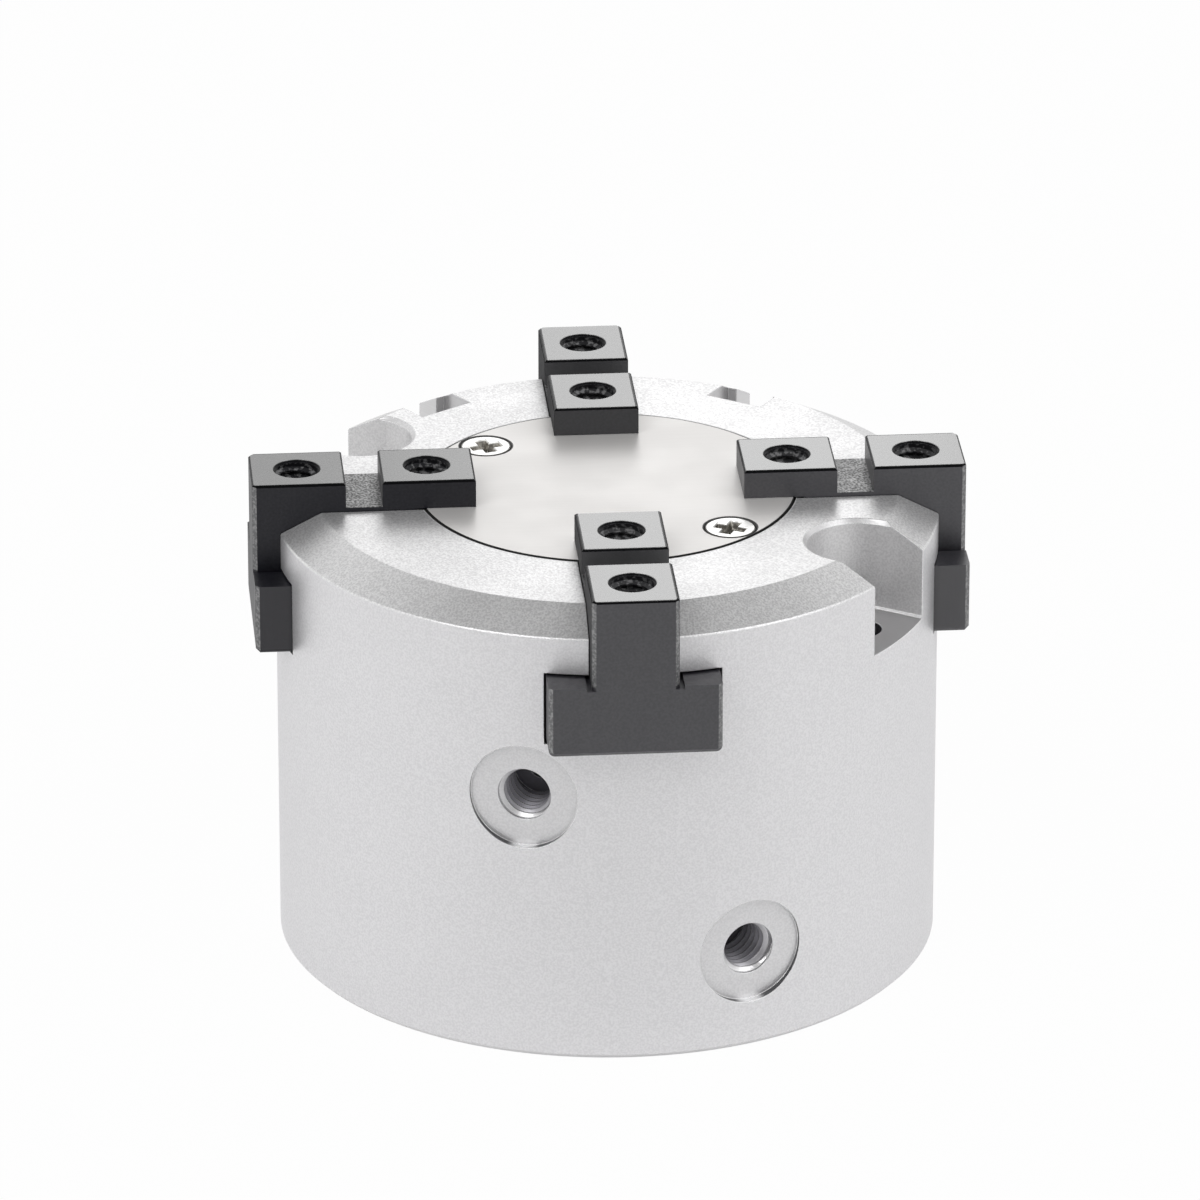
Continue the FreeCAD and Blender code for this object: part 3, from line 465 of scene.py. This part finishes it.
# Fingers: four T-bars of hardened steel, blackened, with two ground pads on each. Every pad has a
# threaded hole for the customer's jaw; the edges are bevelled. The upright bevels are paler, bare
# metal where rubbed with a painted highlight on it. Painted shade blackens the pads' top edges,
# the holes and the long sides of the front and back fingers, and lit and shaded copies of the one
# steel paint how the light falls on each finger.

FINGER_REACH, FINGER_BEVEL = 33.3, 0.4
PAD_HALF, BAR_HALF, PAD_BEVEL, PAD_SHADE_STRIP = 4.0, 7.925, 0.2, 0.3
PAD_TOP, SADDLE_FLOOR, BAR_TOP = 47.1, 44.7, 38.63
SADDLE_MIDDLE, SADDLE_HALF = 22.9, 1.7
PAD_WALL, PAD_CREST, PAD_PITCH, PAD_MOUTH = 2.0, 1.65, 0.7, 0.25
PAD_HOLES = ((16.85, 2.7), (28.95, 8.0))
NEAR, HAIR = 0.04, 0.01


def bevel_mask(along, across, z):
    """1 on the upright bevels at a finger's outer end, where the distances along and across it add
    up to the same sum: one sum on the stem, another on the T-bar below."""
    both = along + across
    stem = abs(both - (PAD_HALF + FINGER_REACH - FINGER_BEVEL)) < NEAR
    bar = abs(both - (BAR_HALF + FINGER_REACH - FINGER_BEVEL)) < NEAR
    over_bar = z > BAR_TOP
    end = (along > FINGER_REACH - FINGER_BEVEL) * (along < FINGER_REACH - HAIR)
    return (stem * over_bar | bar * (1 - over_bar)) * end


def hole_masks(along, across, z):
    """Masks over the two threaded holes of a finger, by the distance from each axis: the whole
    hole, and its bevelled mouth."""
    hole = 0
    for middle, _ in PAD_HOLES:
        hole = (length(along - middle, across) < PAD_WALL + NEAR) + hole
    hole = hole * (z < PAD_TOP - NEAR)
    return hole, hole * (z > PAD_TOP - PAD_MOUTH)


def blackened_steel(name, darkest, palest, bare, gloss):
    """Black oxide with a fine grinding grain, ground bare on the pads' tops, milled between them,
    paler on the upright bevels, bare metal with a painted highlight, and nearly black with painted
    shade on the long sides of the front and back fingers. Painted shade also blackens the pads'
    top edges and the holes' mouths and darkens the holes, with painted glints in spots. The
    finger's own axes are the larger and the smaller of the two distances from the centre lines."""
    finish, shader, place = new_finish(name, IOR=gloss)
    x, y, z = millimetres(place)
    along = abs(x) | abs(y)
    across = abs(x) & abs(y)
    bevel = bevel_mask(along, across, z)
    hole, mouth = hole_masks(along, across, z)
    ground = z > PAD_TOP - NEAR
    off_middle = abs(along - SADDLE_MIDDLE)
    saddle = (abs(z - SADDLE_FLOOR) < NEAR) * (off_middle < SADDLE_HALF + HAIR)
    cheek = (abs(off_middle - SADDLE_HALF) < NEAR) * (z > SADDLE_FLOOR + NEAR)
    cheek = cheek * (across < PAD_HALF - NEAR)
    flank = across > BAR_HALF - NEAR / 2
    # Painted shade: the long sides of the front and back fingers' pads and stems are made nearly
    # black and rough.
    shaded_side = (abs(abs(x) - PAD_HALF) < NEAR) * (z > BAR_TOP) * (1 - ground)
    # Painted shade: the pads' top bevels, a strip beside them on the flat top and the holes'
    # mouths are made black.
    shade_strip = (1 - ground) | (across > PAD_HALF - PAD_SHADE_STRIP)
    shaded_rim = (z > PAD_TOP - PAD_BEVEL) * shade_strip | mouth
    oxide = grain(place, per_mm=4.0)
    mill = grain(place, per_mm=4.5, detail=3.0)
    # Inside the holes the tone is dark, painted shade, with painted glints in spots.
    glint_spots = between(grain(place, per_mm=2.2, detail=3.0), 0.48, 0.62)
    streak = grain(place, per_mm=1.2, stretch=(1, 1, 0.08), detail=3.0)

    flank_tone = (0.045, 0.044, 0.049)
    cheek_tone = (0.07, 0.07, 0.073)
    side_shade_tone = (0.004, 0.004, 0.006)
    rim_shade_tone = (0.008, 0.008, 0.009)
    brighter = 1.09
    grey = tint(spread(oxide), (bare,) * 3, (bare * brighter,) * 3)
    milled = tint(between(mill, 0.36, 0.64), (0.055, 0.055, 0.056), (0.36, 0.36, 0.36))
    inside = tint(glint_spots, (0.014, 0.014, 0.017), (0.2, 0.2, 0.205))
    # The upright bevels are paler: bare metal where rubbed, brightened further as a painted
    # highlight.
    handled_and_highlit = tint(between(oxide, 0.4, 0.7), (0.16, 0.16, 0.165), (0.32, 0.32, 0.32))
    dark = tint(flank, tint(spread(oxide), darkest, palest), flank_tone)
    dark = tint(shaded_side, tint(cheek, dark, cheek_tone), side_shade_tone)
    tone = tint(saddle, tint(ground, dark, grey), milled)
    tone = tint(shaded_rim, tint(hole, tone, inside), rim_shade_tone)
    tint(bevel, tone, handled_and_highlit).into(shader, "Base Color")

    ground_metal, saddle_metal, bevel_metal, hole_metal = 0.4, 0.9, 0.7, 0.5
    metal = ground * ground_metal | saddle * saddle_metal | bevel * bevel_metal
    (metal | (hole - mouth) * hole_metal | shaded_rim).into(shader, "Metallic")
    flank_rougher, shaded_side_rougher = 0.15, 0.5
    rough = spread(streak, 0.36, 0.46) * (1 - ground) + spread(oxide, 0.25, 0.28) * ground
    (rough + flank * flank_rougher + shaded_side * shaded_side_rougher).into(shader, "Roughness")
    oxide_share, ground_flatter, mill_deeper = 0.6, 0.8, 2
    relief = (oxide * oxide_share + streak * (1 - oxide_share)) * (1 - ground * ground_flatter)
    bump(relief + mill * saddle * mill_deeper, 0.012, shader)
    return finish


# Three copies of one black steel, as painted light: the copy on the front and right fingers is the
# lightest, the back finger's darker and the left finger's darkest, for how the light falls on
# each.
LIT_BLACK_STEEL = blackened_steel(
    "lit_black_steel", (0.021, 0.02, 0.026), (0.036, 0.035, 0.042), bare=0.293, gloss=1.85
)
SHADED_BLACK_STEEL = blackened_steel(
    "shaded_black_steel", (0.006, 0.006, 0.01), (0.013, 0.013, 0.018), bare=0.249, gloss=1.45
)
HALF_SHADED_BLACK_STEEL = blackened_steel(
    "half_shaded_black_steel", (0.01, 0.01, 0.013), (0.019, 0.019, 0.023), bare=0.259, gloss=1.7
)
wear("piston_bolt", LIT_BLACK_STEEL)
for side, outward, finish in (
    ("right", (1, 0), LIT_BLACK_STEEL),
    ("back", (0, 1), HALF_SHADED_BLACK_STEEL),
    ("left", (-1, 0), SHADED_BLACK_STEEL),
    ("front", (0, -1), LIT_BLACK_STEEL),
):
    wear(f"finger_{side}", finish)
    pad_grids = []
    for middle, depth in PAD_HOLES:
        start = (middle * outward[0], middle * outward[1], PAD_TOP - PAD_MOUTH)
        run = depth - PAD_MOUTH
        pad_grids.append(thread(PAD_WALL, PAD_CREST, PAD_PITCH, run, start, (0, 0, -1)))
    threads(f"pad_threads_{side}", finish, pad_grids, f"{side}_finger")

# End plate: a stainless disc let into the top face, a little proud of it, with a fine straight
# grain. Two bright plated countersunk screws with cross recesses hold it.

PLATE_SHADE_FROM, PLATE_SINK, PLATE_PROUD = 17.54, 2.6, 0.07
PLATE_TOP = HOUSING_HEIGHT + PLATE_PROUD
SCREW_CIRCLE, SCREW_BELOW, SCREW_TIP = 15.0, 0.02, 36.28
SCREW_TOP = PLATE_TOP - SCREW_BELOW
SCREW_HEAD, SCREW_SHANK, SCREW_EDGE = 2.34, 1.5, 0.12


def from_screw(x, y):
    """Distance from the nearer screw's axis; both lie on the diagonal where y is -x."""
    diagonal = math.cos(math.radians(45))
    return length(abs(x - y) * diagonal - SCREW_CIRCLE, (x + y) * diagonal)


def brushed_plate():
    """Stainless steel brushed one way: long fine scratches along X, with painted shade on its
    side, its outer edge and round the screws' seats, where it meets the gaps.
    """
    # The dark colour here is painted shade for the gaps round the plate and the screws.
    below_face, cut_tone = 0.03, (0.03, 0.029, 0.028)
    finish, shader, place = new_finish("brushed_plate")
    x, y, z = millimetres(place)
    # Painted shade: the plate's side, the last of its top at the edge and the top round each
    # screw's seat are made dark.
    gap_shade = (z < PLATE_TOP - below_face) | (length(x, y) > PLATE_SHADE_FROM)
    gap_shade = gap_shade | (from_screw(x, y) < PLATE_SINK)
    scratch = grain(place, per_mm=9.0, stretch=(0.02, 1, 1), detail=3.0)
    haze = grain(place, per_mm=0.15)
    face = tint(spread(scratch), (0.875, 0.858, 0.84), (0.895, 0.878, 0.861))
    tint(gap_shade, face, cut_tone).into(shader, "Base Color")
    face_metal, cut_less = 0.5, 0.4
    (face_metal - gap_shade * cut_less).into(shader, "Metallic")
    spread(haze, 0.44, 0.5).into(shader, "Roughness")
    bump(scratch, 0.0012, shader)
    return finish


def proud_plate(finish, node):
    """The end plate's own points and triangles, with the points of its upper face lifted until it
    stands a little proud of the housing."""
    just_under = HOUSING_HEIGHT - 0.01
    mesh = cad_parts[node].data
    points = np.empty(3 * len(mesh.vertices))
    mesh.vertices.foreach_get("co", points)
    points = points.reshape(-1, 3) / MM
    points[points[:, 2] > just_under, 2] = PLATE_TOP
    corners = np.empty(len(mesh.loops), int)
    mesh.loops.foreach_get("vertex_index", corners)
    plate = closed_piece("proud_plate", points, corners.reshape(-1, 3).tolist(), finish)
    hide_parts(node)
    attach(plate, "housing")


proud_plate(brushed_plate(), "end_plate")


def plated_screw():
    """Bright plating, with painted shade round the edge of the head beside its gap, and brownish
    in the recess, where the driver has worn it."""
    edge_shade_tone = (0.09, 0.086, 0.08)
    worn_below, bright_above = 0.2, 0.02
    finish, shader, place = new_finish("plated_screw", Metallic=0.6)
    x, y, z = millimetres(place)
    haze = grain(place, per_mm=2.0, detail=3.0)
    bright = tint(between(haze, 0.35, 0.7), (0.72, 0.715, 0.7), (0.84, 0.835, 0.82))
    worn = tint(between(haze, 0.35, 0.65), (0.12, 0.11, 0.095), (0.4, 0.38, 0.34))
    sunk = between(z, SCREW_TOP - worn_below, SCREW_TOP - bright_above, 1.0, 0.0)
    # The head's rounded edge is made dark: painted shade of the gap round it.
    edge = from_screw(x, y) > SCREW_HEAD - SCREW_EDGE
    tint(edge, tint(sunk, bright, worn), edge_shade_tone).into(shader, "Base Color")
    spread(haze, 0.16, 0.26).into(shader, "Roughness")
    bump(haze, 0.006, shader)
    return finish


def cross_screw(name, direction, recess_turn, finish, node):
    """A countersunk screw: a profile turned round its axis, with the recess sunk into the top. The
    recess is a cross of two bars; its depth grows twice as fast as the distance inside the
    cross's outline, down to a floor that rises from the middle to the ends of the bars."""
    columns, top_rows, crease = 180, 64, math.radians(28)
    arm, half, steep, deepest, rise = 1.55, 0.6, 2.0, 1.2, 0.4
    shoulder = SCREW_TOP - SCREW_EDGE / 3
    cone_top = SCREW_TOP - SCREW_EDGE
    cone_foot = cone_top - SCREW_HEAD + SCREW_SHANK
    radius = np.linspace(0, SCREW_HEAD - SCREW_EDGE, top_rows)
    radius = np.append(radius, [SCREW_HEAD, SCREW_HEAD, SCREW_SHANK, SCREW_SHANK, 0])
    height = np.full(top_rows, SCREW_TOP)
    height = np.append(height, [shoulder, cone_top, cone_foot, SCREW_TIP, SCREW_TIP])
    angle = np.linspace(0, 2 * np.pi, columns, endpoint=False)
    x = np.multiply.outer(radius, np.cos(angle - recess_turn))
    y = np.multiply.outer(radius, np.sin(angle - recess_turn))
    first_bar = np.maximum(np.abs(x) - arm, np.abs(y) - half)
    second_bar = np.maximum(np.abs(y) - arm, np.abs(x) - half)
    inside = -np.minimum(first_bar, second_bar)
    floor = deepest - rise * np.hypot(x, y)
    sunk = np.clip(np.minimum(inside * steep, floor), 0, None)
    sunk[top_rows:] = 0
    grid = np.stack(
        [
            SCREW_CIRCLE * math.cos(direction) + np.multiply.outer(radius, np.cos(angle)),
            SCREW_CIRCLE * math.sin(direction) + np.multiply.outer(radius, np.sin(angle)),
            height[:, None] - sunk,
        ],
        axis=-1,
    )
    faces = ring_faces(len(radius), columns)
    screw = closed_piece(name, grid.reshape(-1, 3), faces, finish)
    screw.data.shade_smooth()
    screw.data.set_sharp_from_angle(angle=crease)
    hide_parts(node)
    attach(screw, "housing")


SCREW_FINISH = plated_screw()
FRONT_SCREW, FRONT_RECESS = math.radians(-45), math.radians(-27)
REAR_SCREW, REAR_RECESS = math.radians(135), math.radians(18)
cross_screw("screw_front", FRONT_SCREW, FRONT_RECESS, SCREW_FINISH, "end_plate_screw_front")
cross_screw("screw_rear", REAR_SCREW, REAR_RECESS, SCREW_FINISH, "end_plate_screw_rear")

# Studio: a white floor, a white surround that is darker overhead, a wide and a near soft lamp
# behind and two soft lamps in front, and the camera at the photograph's place.


def seen_rays(strand):
    """Two masks: rays from the camera, and reflected or refracted ones."""
    rays = ["Is Camera Ray", "Is Glossy Ray", "Is Transmission Ray"]
    camera, glossy, through = [strand.node("ShaderNodeLightPath", {}, {}, ray) for ray in rays]
    return camera, glossy | through


def studio_floor():
    """A white disc that keeps a soft shadow, and shows white to the camera and in reflections,
    dimmer in front of and behind the gripper than on either side."""
    reach, rings, columns, below_foot = 4.0, 12, 64, -0.02
    radius = np.linspace(0, reach, rings) / MM
    angle = np.linspace(0, 2 * np.pi, columns, endpoint=False)
    level = np.full((rings, columns), below_foot)
    across = [np.multiply.outer(radius, wave(angle)) for wave in (np.cos, np.sin)]
    grid = np.stack([*across, level], axis=-1)
    finish, shader, place = new_finish("studio_floor", Roughness=0.9)
    shader.inputs["Base Color"].default_value = (0.9, 0.9, 0.9, 1)
    x, y = millimetres(place)[:2]
    slant, ahead, aside, shown_to_camera = 0.7, -40, 60, 0.97
    sideways = between(abs(x) - abs(y) * slant, ahead, aside, 0.36, 0.64)
    seen, reflected = seen_rays(place)
    glow = place.node("ShaderNodeEmission", {}, {"Strength": 1.0})
    lit = Strand(shader.outputs[0])
    share = seen * shown_to_camera | reflected * sideways
    mixed = place.node("ShaderNodeMixShader", {}, {0: share, 1: lit, 2: glow})
    mixed.into(finish.node_tree.nodes["Material Output"], "Surface")
    floor = closed_piece("floor", grid.reshape(-1, 3), ring_faces(rings, columns), finish)


def studio_surround():
    """White round the horizon, grey overhead and in front, and dimmer as a source of light."""
    front_x, front_y = -0.35, -0.93
    overhead, ahead, as_light = 0.13, 0.3, 0.34
    world = bpy.data.worlds.new("studio")
    world.use_nodes = True
    bpy.context.scene.world = world
    backdrop = world.node_tree.nodes["Background"]
    backdrop.inputs["Color"].default_value = (1, 1, 1, 1)
    way = Strand(world.node_tree.nodes.new("ShaderNodeTexCoord").outputs["Generated"])
    parts = [way.node("ShaderNodeSeparateXYZ", {}, {0: way}, axis) for axis in "XYZ"]
    across, onward, upward = parts
    seen, reflected = seen_rays(way)
    frontal = across * front_x + onward * front_y
    shown = between(upward, 0.55, 0.95, 1.0, overhead) * between(frontal, 0.3, 0.95, 1.0, ahead)
    strength = seen + reflected * shown + (1 - seen - reflected) * as_light
    strength.into(backdrop, "Strength")


def soft_lamp(name, place, aim, width, depth, radiance):
    """A rectangular lamp that shines with a given radiance towards a point: its power is that
    radiance times its area times pi."""
    lamp = bpy.data.lights.new(name, "AREA")
    lamp.shape = "RECTANGLE"
    lamp.size = width
    lamp.size_y = depth
    lamp.energy = radiance * math.pi * width * depth
    holder = bpy.data.objects.new(name, lamp)
    holder.location = place
    holder.rotation_euler = (Vector(aim) - Vector(place)).to_track_quat("-Z", "Y").to_euler()
    bpy.context.scene.collection.objects.link(holder)


studio_floor()
studio_surround()
CENTRE = (0.0, 0.0, 0.03)
for name, place, width, depth, radiance in (
    ("lamp_behind", (0.0, 1.3, 0.62), 1.6, 0.7, 0.12),
    ("lamp_near", (0.044, 0.36, 0.21), 0.08, 0.13, 1.3),
    ("lamp_left", (-0.8, -0.75, 1.25), 0.9, 0.9, 2.95),
    ("lamp_right", (0.85, -0.6, 1.25), 0.9, 0.9, 2.0),
):
    soft_lamp(name, place, CENTRE, width, depth, radiance)

VIEWPOINT, AIM = (-0.06843, -0.85608, 0.40779), (-0.00039, 0.00322, 0.03138)
LENS, SENSOR = 299.7, 36.0
camera = bpy.data.cameras.new("camera")
camera.lens = LENS
camera.sensor_width = SENSOR
viewpoint = bpy.data.objects.new("camera", camera)
viewpoint.location = VIEWPOINT
sight = Vector(AIM) - Vector(VIEWPOINT)
viewpoint.rotation_euler = sight.to_track_quat("-Z", "Y").to_euler()
bpy.context.scene.collection.objects.link(viewpoint)
bpy.context.scene.camera = viewpoint
bpy.context.scene.view_settings.view_transform = "Standard"
